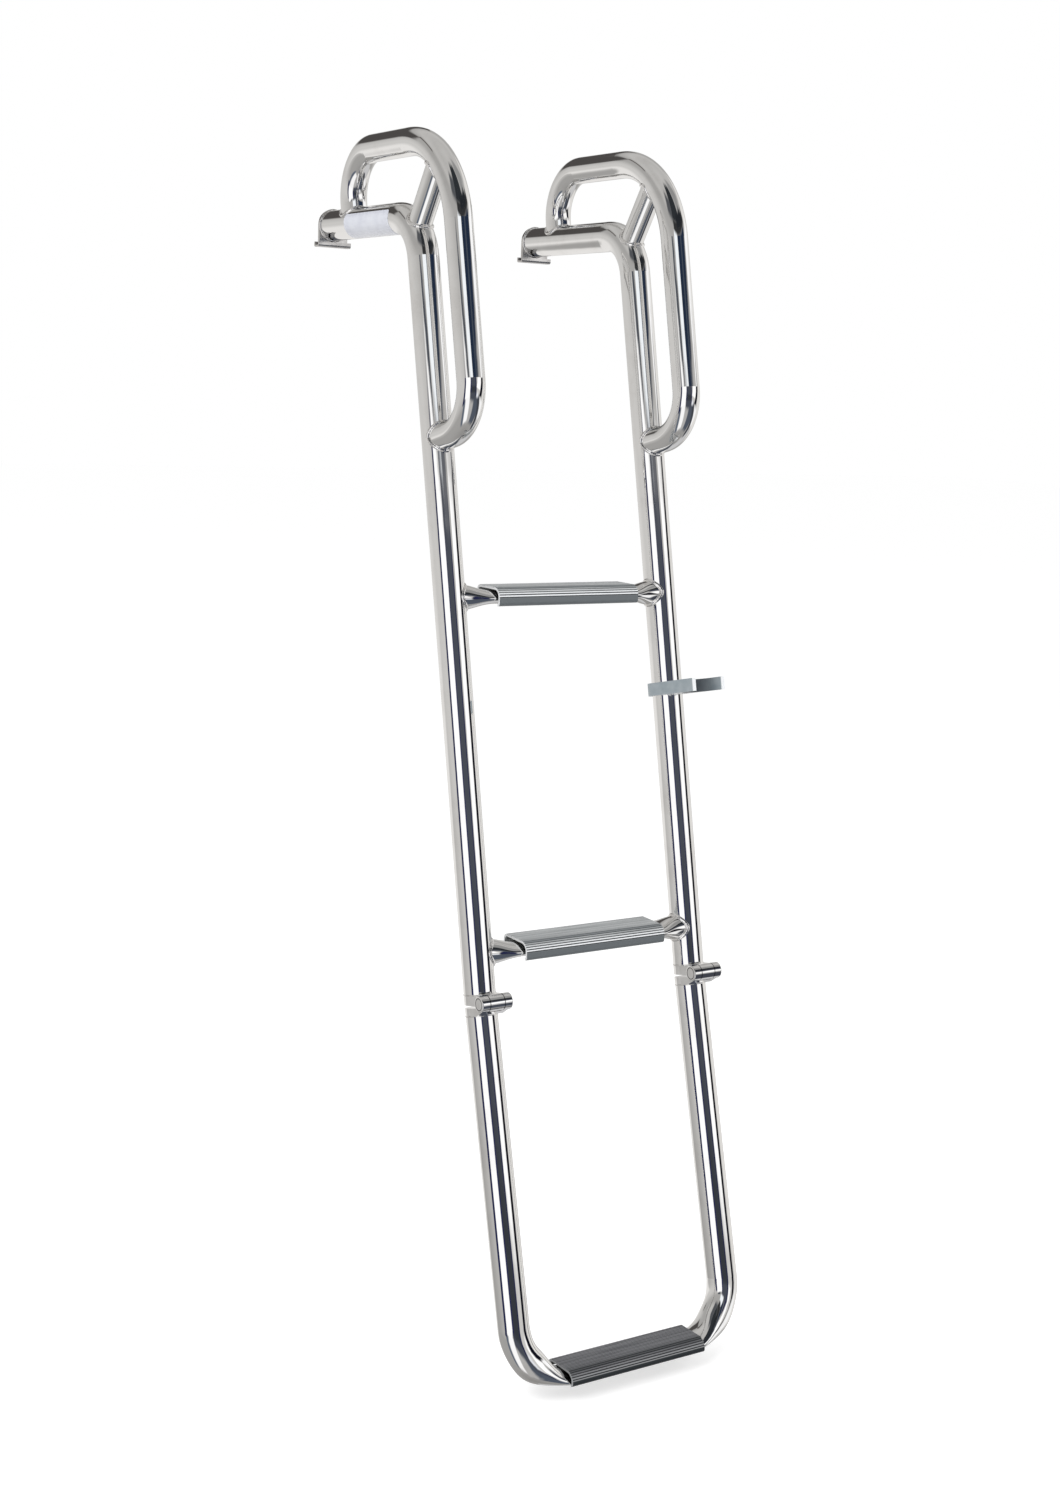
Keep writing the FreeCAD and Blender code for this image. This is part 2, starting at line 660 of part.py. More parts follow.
def make_lower_fitting(name, x):
    """Swinging half of a hinge: a plug in the lower stile's end with the two outer knuckles."""
    body = lower_body(name, x)
    flange = new_sketch(body, "XY_Plane", "flange", {"y": "hinge_offset", "z": "-fitting_below"})
    add_circle(flange, "tube_r")
    pad(body, flange, "lower_flange", "flange_pad")
    spigot = new_sketch(body, "XY_Plane", "spigot", {"y": "hinge_offset", "z": "-fitting_below"})
    add_circle(spigot, "spigot_r")
    pad(body, spigot, "spigot_length", "spigot_pad", reverse=True)
    cheek = new_sketch(body, "YZ_Plane", "cheek")
    corners = [
        ("none", "-knuckle_r"),
        ("cheek_foot_y", "-fitting_below"),
        ("hinge_offset", "-fitting_below"),
        ("hinge_offset", "lower_face_z"),
        ("none", "lower_face_z"),
    ]
    add_outline(cheek, corners, {}, closed=True)
    pad(body, cheek, "fitting_width", "cheek_pad", midplane=True)
    barrel = new_sketch(body, "XY_Plane", "barrel")
    points = [
        ("-barrel_half", "none"),
        ("-barrel_half", "knuckle_r"),
        ("barrel_half", "knuckle_r"),
        ("barrel_half", "none"),
    ]
    add_outline(barrel, points, {1: "knuckle_round", 2: "knuckle_round"}, closed=True)
    turn_round(body, barrel, "barrel_turned")
    slot = new_sketch(body, "YZ_Plane", "slot")
    add_circle(slot, "sweep_r")
    pocket(body, slot, "slot_width", "slot_cut", midplane=True)
    bore = new_sketch(body, "YZ_Plane", "bore")
    add_circle(bore, "pin_bore_r")
    pocket(body, bore, "bore_cut", "bore_pocket", midplane=True)
    recess = new_sketch(body, "YZ_Plane", "recess", {"z": "-barrel_half"})
    add_circle(recess, "recess_r")
    pocket(body, recess, "recess_cut", "recess_pocket", midplane=True)
    return body


def make_pin(name, x):
    """Hinge pin: a flat head sunk into the left knuckle and a domed head on the right one."""
    body = lower_body(name, x)
    half = new_sketch(body, "XY_Plane", "half")
    points = [
        ("-barrel_half", "none"),
        ("-barrel_half", "pin_head_r"),
        ("-shaft_from", "pin_head_r"),
        ("-shaft_from", "pin_r"),
        ("barrel_half", "pin_r"),
        ("barrel_half", "pin_head_r"),
        ("dome_end", "pin_head_r"),
        ("dome_end", "none"),
    ]
    add_outline(half, points, {6: "dome_round"}, closed=True)
    turn_round(body, half, "turned")
    return body


def bend_section(body, side, angle, shrink, label):
    """One outline of the bottom bend: round at first, then pressed flatter and turned level."""
    bend = val("bottom_bend")
    share = (angle - val("bottom_press_from")) / (val("bottom_press_to") - val("bottom_press_from"))
    thick = pressed(share, val("stile_dia"), val("bottom_flat_thick")) - shrink
    width = pressed(share, val("stile_dia"), val("bottom_flat_width")) - shrink + 0.01
    turn = math.radians(angle)
    x = side * (val("stile_pitch") / 2 - bend * (1 - math.cos(turn)))
    z = bend - val("bottom_drop") - bend * math.sin(turn)
    sketch = new_sketch(body, "XY_Plane", "%s_%d" % (label, angle))
    place = Placement(Vector(x, val("hinge_offset"), z), Rotation(Vector(0, 1, 0), side * angle))
    sketch.AttachmentOffset = place
    add_ellipse(sketch, thick, width, side * pressed(share, 0.0, val("lean")))
    return sketch


def make_lower_frame(name):
    """Lower stiles and bottom rung in one tube, bent twice and pressed flat under the bottom tread."""
    body = lower_body(name, "mid_x")
    angles = range(0, 91, 15)
    for word, shrink in (("tube", 0.0), ("bore", 2 * val("tube_wall"))):
        for side, hand in ((-1, "left"), (1, "right")):
            label = word + "_" + hand
            rows = [bend_section(body, side, angle, shrink, label) for angle in angles]
            if word == "tube":
                pad(body, rows[0], "leg_length", label + "_leg")
                loft(body, "AdditiveLoft", rows, label + "_bend")
                pad(body, rows[-1], "flat_half", label + "_flat", reverse=True)
            else:
                pocket(body, rows[0], "leg_length", label + "_leg", reverse=True)
                loft(body, "SubtractiveLoft", rows, label + "_bend")
                pocket(body, rows[-1], "flat_half", label + "_flat")
    return body


def make_end_plate(name, x):
    """Plate that closes the arm's end and stands in the hook strip."""
    body = level_body(name, x)
    outline = new_sketch(body, "XZ_Plane", "outline")
    corners = [
        ("-plate_half", "strip_wall"),
        ("plate_half", "strip_wall"),
        ("plate_half", "plate_top"),
        ("-plate_half", "plate_top"),
    ]
    add_outline(outline, corners, {2: "plate_round", 3: "plate_round"}, closed=True)
    pad(body, outline, "plate_thick", "plate", midplane=True)
    return body


def make_hook_strip(name, x):
    """Shallow channel across the arm's end, which hooks into the bracket on the boat."""
    body = level_body(name, x)
    outline = new_sketch(body, "YZ_Plane", "outline")
    corners = [
        ("-strip_half", "none"),
        ("strip_half", "none"),
        ("strip_half", "strip_height"),
        ("strip_in", "strip_height"),
        ("strip_in", "strip_wall"),
        ("-strip_in", "strip_wall"),
        ("-strip_in", "strip_height"),
        ("-strip_half", "strip_height"),
    ]
    add_outline(outline, corners, {0: "strip_corner", 1: "strip_corner"}, closed=True)
    pad(body, outline, "strip_length", "channel", midplane=True)
    return body


def make_clip(name, x):
    """Stowage clip: a ring round the right stile with two arms that take the folded lower stile."""
    body = upper_body(name, x)
    outline = new_sketch(body, "XY_Plane", "outline", {"z": "clip_z"})
    corners = [
        ("-clip_outer_r", "clip_outer_r"),
        ("-clip_outer_r", "clip_tip_y"),
        ("-clip_bore_r", "clip_tip_y"),
        ("-clip_bore_r", "clip_seat_y"),
        ("clip_bore_r", "clip_seat_y"),
        ("clip_bore_r", "clip_tip_y"),
        ("clip_outer_r", "clip_tip_y"),
        ("clip_outer_r", "clip_outer_r"),
    ]
    rounds = {0: "clip_outer_round", 3: "clip_inner_round", 4: "clip_inner_round", 7: "clip_outer_round"}
    add_outline(outline, corners, rounds, closed=True)
    add_circle(outline, "clip_bore_r")
    pad(body, outline, "clip_height", "clip", midplane=True)
    return body


def build():
    """Every sub-part of the ladder."""
    parts = []
    for side, x in (("left", "none"), ("right", "right_x")):
        parts += [
            make_stile(side + "_stile", x),
            make_handle(side + "_handle", x),
            make_strut(side + "_strut", x),
            make_end_plate(side + "_end_plate", x),
            make_hook_strip(side + "_hook_strip", x),
            make_upper_fitting(side + "_upper_fitting", x),
            make_lower_fitting(side + "_lower_fitting", x),
            make_pin(side + "_hinge_pin", x),
        ]
    parts += [
        make_rung("upper_rung", "upper_rung_z"),
        make_rung("middle_rung", "middle_rung_z"),
        make_tread("upper", upper_body("upper_tread", "mid_x"), "tread_length"),
        make_tread("middle", upper_body("middle_tread", "mid_x"), "tread_length"),
        make_lower_frame("lower_frame"),
        make_tread("bottom", lower_body("bottom_tread", "mid_x"), "bottom_tread_length"),
        make_clip("stowage_clip", "right_x"),
    ]
    return parts


def check(parts):
    """Stop unless every object worked out and every sub-part is one sound solid."""
    doc.recompute()
    for obj in doc.Objects:
        if {"Invalid", "Error"} & set(obj.State):
            raise RuntimeError("%s failed" % obj.Label)
    for part in parts:
        shape = part.Shape
        if shape.isNull() or not shape.isValid() or len(shape.Solids) != 1:
            raise RuntimeError("%s is not one sound solid" % part.Label)


def write(parts):
    """One file for each sub-part, in its place."""
    os.makedirs("parts", exist_ok=True)
    for part in parts:
        part.Shape.exportStep("parts/%s.step" % part.Label)
        box = part.Shape.BoundBox
        size = "%6.1f x %6.1f x %6.1f" % (box.XLength, box.YLength, box.ZLength)
        print("%-20s %8.0f mm3  %s" % (part.Label, part.Shape.Volume, size))


parts = build()
check(parts)
write(parts)
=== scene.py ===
import bpy
import math
from mathutils import Matrix, Vector


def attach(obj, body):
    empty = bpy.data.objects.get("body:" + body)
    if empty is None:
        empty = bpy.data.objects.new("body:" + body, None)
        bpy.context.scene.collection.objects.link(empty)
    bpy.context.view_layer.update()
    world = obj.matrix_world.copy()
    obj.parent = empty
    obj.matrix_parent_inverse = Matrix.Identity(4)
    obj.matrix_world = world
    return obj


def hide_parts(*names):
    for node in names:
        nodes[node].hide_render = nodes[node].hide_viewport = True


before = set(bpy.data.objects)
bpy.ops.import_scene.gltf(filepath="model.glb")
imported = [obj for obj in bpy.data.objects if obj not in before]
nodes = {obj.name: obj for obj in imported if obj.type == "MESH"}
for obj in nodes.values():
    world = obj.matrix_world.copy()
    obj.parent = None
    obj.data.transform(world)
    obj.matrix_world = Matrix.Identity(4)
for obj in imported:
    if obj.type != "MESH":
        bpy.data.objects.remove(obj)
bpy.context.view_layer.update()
print("loaded", len(nodes), "nodes")

# the ladder's driving places, in metres: x to the right, y inboard, z up
ladder = {
    "stileX": {"left": 0.0, "right": 0.2},
    "corner": (-0.154, 0.018),  # y and z of the point where a stile's axis and its arm's cross
    "pinLine": (-0.30696, -0.57495),  # y and z of the line through both hinge pins
    "lean": math.radians(12.5),
    "lowerLean": math.radians(15.4),  # of the folding section, as it hangs at rest
}
middleX = (ladder["stileX"]["left"] + ladder["stileX"]["right"]) / 2


# places and ways measured on a leaning stile: across it, towards the boat, and up along it

def leaned(x, across, along):
    y, z = ladder["corner"]
    angle = ladder["lean"]
    return Vector((x, y + across * math.cos(angle) + along * math.sin(angle),
                   z - across * math.sin(angle) + along * math.cos(angle)))


def leanedWay(across, along, angle=ladder["lean"]):
    return Vector((0, across * math.cos(angle) + along * math.sin(angle),
                   along * math.cos(angle) - across * math.sin(angle)))


# where the camera stood, solved from the straight edges of stiles, arms and handles
shot = {
    "place": Vector((-0.7643, -1.5672, -0.1116)),
    "forward": Vector((0.5218, 0.8344, -0.1773)),
    "right": Vector((0.8509, -0.5240, 0.0379)),
    "focal": 1997.67,  # in pixels, as is the picture's height
    "tall": 1500,
    "sensor": 36,
    "near": 0.05,
    "far": 50,
}


def addCamera():
    camera = bpy.data.cameras.new("camera")
    camera.sensor_fit = "VERTICAL"
    camera.sensor_height = shot["sensor"]
    camera.lens = shot["focal"] * shot["sensor"] / shot["tall"]
    camera.clip_start = shot["near"]
    camera.clip_end = shot["far"]
    holder = bpy.data.objects.new("camera", camera)
    bpy.context.scene.collection.objects.link(holder)
    forward = shot["forward"].normalized()
    right = (shot["right"] - forward * shot["right"].dot(forward)).normalized()
    up = right.cross(forward)
    turn = Matrix((right, up, -forward)).transposed().to_4x4()
    holder.matrix_world = Matrix.Translation(shot["place"]) @ turn
    bpy.context.scene.camera = holder


addCamera()
print("camera done")


# small helpers for node trees

def addNode(tree, kind, inputs=None, **settings):
    made = tree.nodes.new("ShaderNode" + kind)
    for key, value in settings.items():
        setattr(made, key, value)
    for key, value in (inputs or {}).items():
        if isinstance(value, bpy.types.NodeSocket):
            tree.links.new(value, made.inputs[key])
        else:
            made.inputs[key].default_value = value
    return made


def mathNode(tree, operation, a, b=0.0):
    return addNode(tree, "Math", {0: a, 1: b}, operation=operation).outputs[0]


def vectorNode(tree, operation, a, b):
    return addNode(tree, "VectorMath", {0: a, 1: b}, operation=operation).outputs[0]


def dotNode(tree, a, b):
    return addNode(tree, "VectorMath", {0: a, 1: b}, operation="DOT_PRODUCT").outputs["Value"]


def axisNode(tree, vector, axis):
    return addNode(tree, "SeparateXYZ", {0: vector}).outputs[axis]


def turnedNode(tree, vector, turn):
    return addNode(tree, "Mapping", {"Vector": vector, "Rotation": turn}).outputs[0]


def stretchedNode(tree, vector, stretch):
    return addNode(tree, "Mapping", {"Vector": vector, "Scale": stretch}).outputs[0]


def noiseNode(tree, vector, noise):
    return addNode(tree, "TexNoise", {"Vector": vector, **noise}).outputs["Fac"]


def bumpNode(tree, height, bump, below=None):
    made = addNode(tree, "Bump", {"Height": height, **bump})
    if below is not None:
        tree.links.new(below, made.inputs["Normal"])
    return made.outputs[0]


def mixNode(tree, share, first, second):
    return addNode(tree, "Mix", {0: share, 6: first, 7: second}, data_type="RGBA").outputs[2]


def mixShader(tree, share, first, second):
    return addNode(tree, "MixShader", {0: share, 1: first, 2: second}).outputs[0]


def rangeNode(tree, value, start, end, low=0.0, high=1.0):
    return addNode(tree, "MapRange", {"Value": value, "From Min": start, "From Max": end,
                                      "To Min": low, "To Max": high}).outputs[0]


def riseNode(tree, value, edge, soft, falling=False):
    low, high = (1.0, 0.0) if falling else (0.0, 1.0)
    made = addNode(tree, "MapRange", {"Value": value, "From Min": edge - soft, "From Max": edge + soft,
                                      "To Min": low, "To Max": high}, interpolation_type="SMOOTHSTEP")
    return made.outputs[0]


def bandNode(tree, value, start, end, soft):
    return mathNode(tree, "MULTIPLY", riseNode(tree, value, start, soft),
                    riseNode(tree, value, end, soft, falling=True))


def rampNode(tree, factor, stops):
    ramp = addNode(tree, "ValToRGB", {"Fac": factor})
    elements = ramp.color_ramp.elements
    elements.remove(elements[-1])
    elements[0].position = stops[0][0]
    for place, colour in stops[1:]:
        elements.new(place).color = (*colour[:3], 1.0)
    elements[0].color = (*stops[0][1][:3], 1.0)
    return ramp.outputs["Color"]


def newMaterial(name):
    material = bpy.data.materials.new(name)
    material.use_nodes = True
    tree = material.node_tree
    tree.nodes.clear()
    out = tree.nodes.new("ShaderNodeOutputMaterial")
    shader = tree.nodes.new("ShaderNodeBsdfPrincipled")
    tree.links.new(shader.outputs["BSDF"], out.inputs["Surface"])
    place = tree.nodes.new("ShaderNodeTexCoord")
    return material, tree, shader, place.outputs["Object"]


# the studio round the ladder: a white room with two tall lights and dark gaps beside them

studio = {
    "floorHeight": -0.882,
    "floorSize": 30.0,
    "floorPaper": (0.8, 0.8, 0.8, 1),
    "floorGlow": 0.42,
    "white": (1, 1, 1, 1),
    "skyLight": 0.72,
    # how bright the room's walls are at each height, in degrees above the horizon
    "room": [(-90, 0.28), (-60, 0.36), (-40, 0.38), (-25, 0.38), (-12, 0.52), (-4, 0.62), (4, 0.64),
             (14, 0.55), (24, 0.42), (36, 0.4), (48, 0.55), (65, 0.5), (90, 0.55)],
    "warmth": (1.0, 0.985, 0.965),
    "aim": (0.1, -0.2, -0.4),
}
softboxes = {
    "keyLight": {"place": (-2.2, -1.2, 1.8), "size": 1.6, "power": 42},
    "fillLight": {"place": (1.6, -2.0, 0.8), "size": 1.4, "power": 14},
}
# panels seen from the ladder, each laid over the ones before it: where they begin and end round it, from the
# camera towards the picture's right, how low and high they stand and how soft their edges are, in degrees,
# and how far they lean or slant; fade is the softness of the upper and lower edge, where that differs
panels = [
    # the paper's floor behind, at the left, and the dark wall over it
    {"round": (-185, -95), "high": (-37, -6), "soft": 6, "lean": 1.5, "colour": (0.84, 0.825, 0.81)},
    {"round": (-190, -117), "high": (18.5, 36), "soft": 2.5, "colour": (0.075, 0.07, 0.068)},
    {"round": (-119, -96), "high": (36, 40.5), "soft": 1.5, "colour": (0.12, 0.11, 0.105)},
    # dark ceiling over the camera
    {"round": (-9, 60), "high": (38, 79), "soft": 5, "colour": (0.028, 0.032, 0.037)},
    {"round": (-38, -6), "high": (38, 60), "soft": 5, "colour": (0.09, 0.095, 0.105)},
    {"round": (66, 116), "high": (44, 74), "soft": 6, "colour": (0.3, 0.3, 0.3)},
    {"round": (-5, 108), "high": (29.5, 40), "soft": 2, "colour": (0.035, 0.036, 0.038)},
    {"round": (26, 90), "high": (34, 47), "soft": 3, "colour": (0.02, 0.023, 0.028)},
    # white paper and floor at the right
    {"round": (106, 152), "high": (-34, 38), "soft": 5, "colour": (0.8, 0.785, 0.765)},
    {"round": (94, 132), "high": (13, 23), "soft": 3, "colour": (1.05, 1.05, 1.06)},
    {"round": (108, 182), "high": (-70, -37), "soft": 5, "colour": (0.6, 0.6, 0.61)},
    {"round": (76, 112), "high": (-37, -12), "soft": 4, "colour": (1.0, 1.0, 1.01)},
    # dark floor by the camera
    {"round": (8, 76), "high": (-62, -9), "soft": 4, "fade": 6, "colour": (0.085, 0.1, 0.13)},
    {"round": (40, 66), "high": (-60, -12), "soft": 4, "lean": -0.9, "colour": (0.055, 0.06, 0.075)},
    {"round": (45, 61), "high": (-12, -4), "soft": 4, "colour": (0.86, 0.88, 0.94)},
    {"round": (-52, -38), "high": (-56, -12), "soft": 3, "fade": 6, "colour": (0.12, 0.145, 0.19)},
    # gap between the two tall lights, with its darkest strips
    {"round": (-4, 46), "high": (-17, 22), "soft": 3, "fade": 4, "colour": (0.07, 0.078, 0.1)},
    {"round": (-4, 45), "high": (-4, 7), "soft": 3, "colour": (0.04, 0.045, 0.055)},
    {"round": (-5, 4), "high": (-4, 17), "soft": 2, "colour": (0.02, 0.025, 0.09)},
    {"round": (38, 46), "high": (-9, 19), "soft": 2, "colour": (0.018, 0.022, 0.07)},
    # dark strips outside them
    {"round": (-53, -38), "high": (-17, 14), "soft": 2, "lean": 0.42, "colour": (0.014, 0.018, 0.07)},
    {"round": (79, 102), "high": (-9, 14), "soft": 2, "lean": 0.9, "colour": (0.004, 0.005, 0.012)},
    # grey floor under the gap, and pale floor under the left light
    {"round": (-8, 26), "high": (-62, -20), "soft": 5, "fade": 6, "colour": (0.47, 0.465, 0.46)},
    {"round": (-36, -5), "high": (-56, -9), "soft": 4, "fade": 5, "colour": (1.05, 1.05, 1.06)},
    # the left and the right light
    {"round": (-41, -6), "high": (-12, 18), "soft": 1.8, "lean": 0.25, "colour": (1.14, 1.14, 1.15)},
    {"round": (42, 76), "high": (3, 20.5), "soft": 1.8, "slant": -0.18, "lean": 0.9,
     "colour": (1.14, 1.14, 1.15)},
    # gaps over the lights
    {"round": (-32, -12), "high": (18.5, 22), "soft": 1.2, "colour": (0.07, 0.08, 0.1)},
    {"round": (18, 92), "high": (21.5, 29.5), "soft": 1.5, "colour": (0.016, 0.027, 0.055)},
    {"round": (45, 56), "high": (22, 29), "soft": 2.5, "colour": (0.06, 0.075, 0.1)},
    # small light over the gap
    {"round": (-8, 19), "high": (21, 30), "soft": 1.8, "colour": (0.98, 1.02, 1.06)},
]


def panelShare(tree, panel, turn, height):
    start, end = panel["round"]
    low, high = panel["high"]
    soft = panel["soft"]
    level = height
    if "slant" in panel:
        level = mathNode(tree, "ADD", height, mathNode(tree, "MULTIPLY", turn, -panel["slant"]))
        low, high = (edge - panel["slant"] * (start + end) / 2 for edge in (low, high))
    spot = turn
    if "lean" in panel:
        spot = mathNode(tree, "ADD", turn, mathNode(tree, "MULTIPLY", height, -panel["lean"]))
    wide = bandNode(tree, spot, start, end, soft)
    tall = bandNode(tree, level, low, high, panel.get("fade", soft))
    return mathNode(tree, "MULTIPLY", wide, tall)


def roomLight(tree):
    towards = addNode(tree, "TexCoord").outputs["Generated"]
    back = Vector((-shot["forward"].x, -shot["forward"].y, 0)).normalized()
    side = Vector((shot["right"].x, shot["right"].y, 0)).normalized()
    along = dotNode(tree, towards, back)
    across = dotNode(tree, towards, side)
    turn = mathNode(tree, "DEGREES", mathNode(tree, "ARCTAN2", across, along))
    height = mathNode(tree, "DEGREES", mathNode(tree, "ARCSINE", axisNode(tree, towards, "Z")))
    stops = []
    for degrees, bright in studio["room"]:
        stops.append(((degrees + 90) / 180, [bright * tone for tone in studio["warmth"]]))
    light = rampNode(tree, rangeNode(tree, height, -90.0, 90.0), stops)
    for panel in panels:
        light = mixNode(tree, panelShare(tree, panel, turn, height), light, (*panel["colour"], 1))
    return light


def seenRays(tree, rays):
    return mathNode(tree, "MAXIMUM", rays.outputs["Is Camera Ray"], rays.outputs["Is Transmission Ray"])


def addWorld():
    world = bpy.data.worlds.new("studio")
    bpy.context.scene.world = world
    world.use_nodes = True
    tree = world.node_tree
    tree.nodes.clear()
    out = tree.nodes.new("ShaderNodeOutputWorld")
    rays = addNode(tree, "LightPath")
    room = addNode(tree, "Background", {"Color": roomLight(tree), "Strength": 1.0}).outputs[0]
    sky = addNode(tree, "Background", {"Color": studio["white"], "Strength": studio["skyLight"]}).outputs[0]
    white = addNode(tree, "Background", {"Color": studio["white"], "Strength": 1.0}).outputs[0]
    lit = mixShader(tree, rays.outputs["Is Glossy Ray"], sky, room)
    tree.links.new(mixShader(tree, seenRays(tree, rays), lit, white), out.inputs["Surface"])


def addFloor():
    bpy.ops.object.select_all(action="DESELECT")
    bpy.ops.mesh.primitive_plane_add(size=studio["floorSize"], location=(0, 0, studio["floorHeight"]))
    floor = bpy.context.object
    floor.name = "floor"
    floor.visible_glossy = False  # polished steel shows the room's own lower half there
    material = bpy.data.materials.new("floorPaper")
    material.use_nodes = True
    tree = material.node_tree
    tree.nodes.clear()
    out = tree.nodes.new("ShaderNodeOutputMaterial")
    rays = addNode(tree, "LightPath")
    paper = addNode(tree, "BsdfDiffuse", {"Color": studio["floorPaper"]}).outputs[0]
    glow = addNode(tree, "Emission", {"Color": studio["white"], "Strength": studio["floorGlow"]}).outputs[0]
    lit = addNode(tree, "AddShader", {0: paper, 1: glow}).outputs[0]
    tree.links.new(mixShader(tree, seenRays(tree, rays), paper, lit), out.inputs["Surface"])
    floor.data.materials.append(material)


def addSoftbox(name, softbox):
    lamp = bpy.data.lights.new(name, "AREA")
    lamp.shape = "RECTANGLE"
    lamp.size = softbox["size"]
    lamp.size_y = softbox["size"]
    lamp.energy = softbox["power"]
    holder = bpy.data.objects.new(name, lamp)
    bpy.context.scene.collection.objects.link(holder)
    holder.location = softbox["place"]
    towards = Vector(studio["aim"]) - Vector(softbox["place"])
    holder.rotation_euler = towards.to_track_quat("-Z", "Y").to_euler()
    holder.visible_glossy = False


addWorld()
addFloor()
for name, softbox in softboxes.items():
    addSoftbox(name, softbox)
bpy.context.scene.view_settings.view_transform = "Standard"
print("studio done")


# polished tube: mirror bright, with the faint waviness and drawing lines of bent and buffed stainless

tubeFinish = {
    "colour": (0.905, 0.9, 0.89, 1),
    "wearAndHighlight": (0.8, 0.785, 0.77, 1),
    "wornAt": (0.5, 0.8),
    "roughness": (0.028, 0.085),
    "roughAt": (0.45, 0.8),
    "cloud": {"Scale": 34.0, "Detail": 6.0, "Roughness": 0.62},
    "wave": {"Scale": 26.0, "Detail": 1.0},
    "waveBump": {"Strength": 0.3, "Distance": 0.0006},
    "lines": {"Scale": 700.0, "Detail": 2.0},
    "lineBump": {"Strength": 0.2, "Distance": 0.000012},
    "stretch": (1.0, 1.0, 0.03),
}


def polishedTube(name, turn):
    material, tree, shader, place = newMaterial(name)
    turned = turnedNode(tree, place, turn)
    drawn = stretchedNode(tree, turned, tubeFinish["stretch"])
    cloud = noiseNode(tree, place, tubeFinish["cloud"])
    start, end = tubeFinish["wornAt"]
    tint = rampNode(tree, cloud, [(start, tubeFinish["colour"]), (end, tubeFinish["wearAndHighlight"])])
    rough = rangeNode(tree, cloud, *tubeFinish["roughAt"], *tubeFinish["roughness"])
    deep = bumpNode(tree, noiseNode(tree, turned, tubeFinish["wave"]), tubeFinish["waveBump"])
    fine = bumpNode(tree, noiseNode(tree, drawn, tubeFinish["lines"]), tubeFinish["lineBump"], below=deep)
    shader.inputs["Metallic"].default_value = 1.0
    tree.links.new(tint, shader.inputs["Base Color"])
    tree.links.new(rough, shader.inputs["Roughness"])
    tree.links.new(fine, shader.inputs["Normal"])
    return material


# hinges, hook feet and welds: cast or pressed steel, polished less evenly than the tube

steelFinishes = {
    "hinge": {"colour": (0.93, 0.925, 0.92, 1), "dark": (0.78, 0.765, 0.75, 1), "roughness": (0.02, 0.06),
              "cloudSize": 90.0, "gritSize": 300.0, "gritDepth": 0.00002},
    "plate": {"colour": (0.72, 0.705, 0.69, 1), "dark": (0.5, 0.485, 0.47, 1), "roughness": (0.16, 0.32),
              "cloudSize": 70.0, "gritSize": 800.0, "gritDepth": 0.00005},
    "weld": {"colour": (0.96, 0.95, 0.94, 1), "dark": (0.78, 0.75, 0.72, 1), "roughness": (0.05, 0.15),
             "cloudSize": 150.0, "gritSize": 420.0, "gritDepth": 0.00004},
    "darkAt": (0.42, 0.82),
    "roughAt": (0.35, 0.75),
    "cloudDetail": 5.0,
    "gritDetail": 3.0,
    "gritStrength": 0.35,
}
# painted shade in the hinges' gaps: a dark ring round each pin's end and a dark line between the knuckles
hingeGapShade = {
    "colour": (0.02, 0.02, 0.022, 1),
    "ring": (0.0043, 0.0049),  # from the pin's axis
    "line": (0.00615, 0.00675),  # sideways from the stile's axis
    "soft": 0.0001,
    "lineReach": 0.0068,  # from the pin's axis
    "reachSoft": 0.0002,
}


# painted shade: how much of the dark colour of the hinge's gaps lies at each place
def gapShadeShare(tree, place):
    moved = vectorNode(tree, "SUBTRACT", place, (0, *ladder["pinLine"]))
    flat = vectorNode(tree, "MULTIPLY", moved, (0, 1, 1))
    away = addNode(tree, "VectorMath", {0: flat}, operation="LENGTH").outputs["Value"]
    ring = bandNode(tree, away, *hingeGapShade["ring"], hingeGapShade["soft"])
    # the distance from the ladder's middle, less half the pitch, counts from the nearer stile
    sideways = mathNode(tree, "SUBTRACT", axisNode(tree, place, "X"), middleX)
    halfPitch = middleX - ladder["stileX"]["left"]
    offset = mathNode(tree, "SUBTRACT", mathNode(tree, "ABSOLUTE", sideways), halfPitch)
    line = bandNode(tree, mathNode(tree, "ABSOLUTE", offset), *hingeGapShade["line"], hingeGapShade["soft"])
    near = riseNode(tree, away, hingeGapShade["lineReach"], hingeGapShade["reachSoft"], falling=True)
    return mathNode(tree, "MAXIMUM", ring, mathNode(tree, "MULTIPLY", line, near))


def workedSteel(name, finish, shadedGaps=False):
    material, tree, shader, place = newMaterial(name)
    cloud = noiseNode(tree, place, {"Scale": finish["cloudSize"], "Detail": steelFinishes["cloudDetail"]})
    grit = noiseNode(tree, place, {"Scale": finish["gritSize"], "Detail": steelFinishes["gritDetail"]})
    start, end = steelFinishes["darkAt"]
    tint = rampNode(tree, cloud, [(start, finish["colour"]), (end, finish["dark"])])
    # the hinge's gaps get painted shade
    if shadedGaps:
        tint = mixNode(tree, gapShadeShare(tree, place), tint, hingeGapShade["colour"])
    rough = rangeNode(tree, cloud, *steelFinishes["roughAt"], *finish["roughness"])
    bump = bumpNode(tree, grit, {"Strength": steelFinishes["gritStrength"], "Distance": finish["gritDepth"]})
    shader.inputs["Metallic"].default_value = 1.0
    tree.links.new(tint, shader.inputs["Base Color"])
    tree.links.new(rough, shader.inputs["Roughness"])
    tree.links.new(bump, shader.inputs["Normal"])
    return material
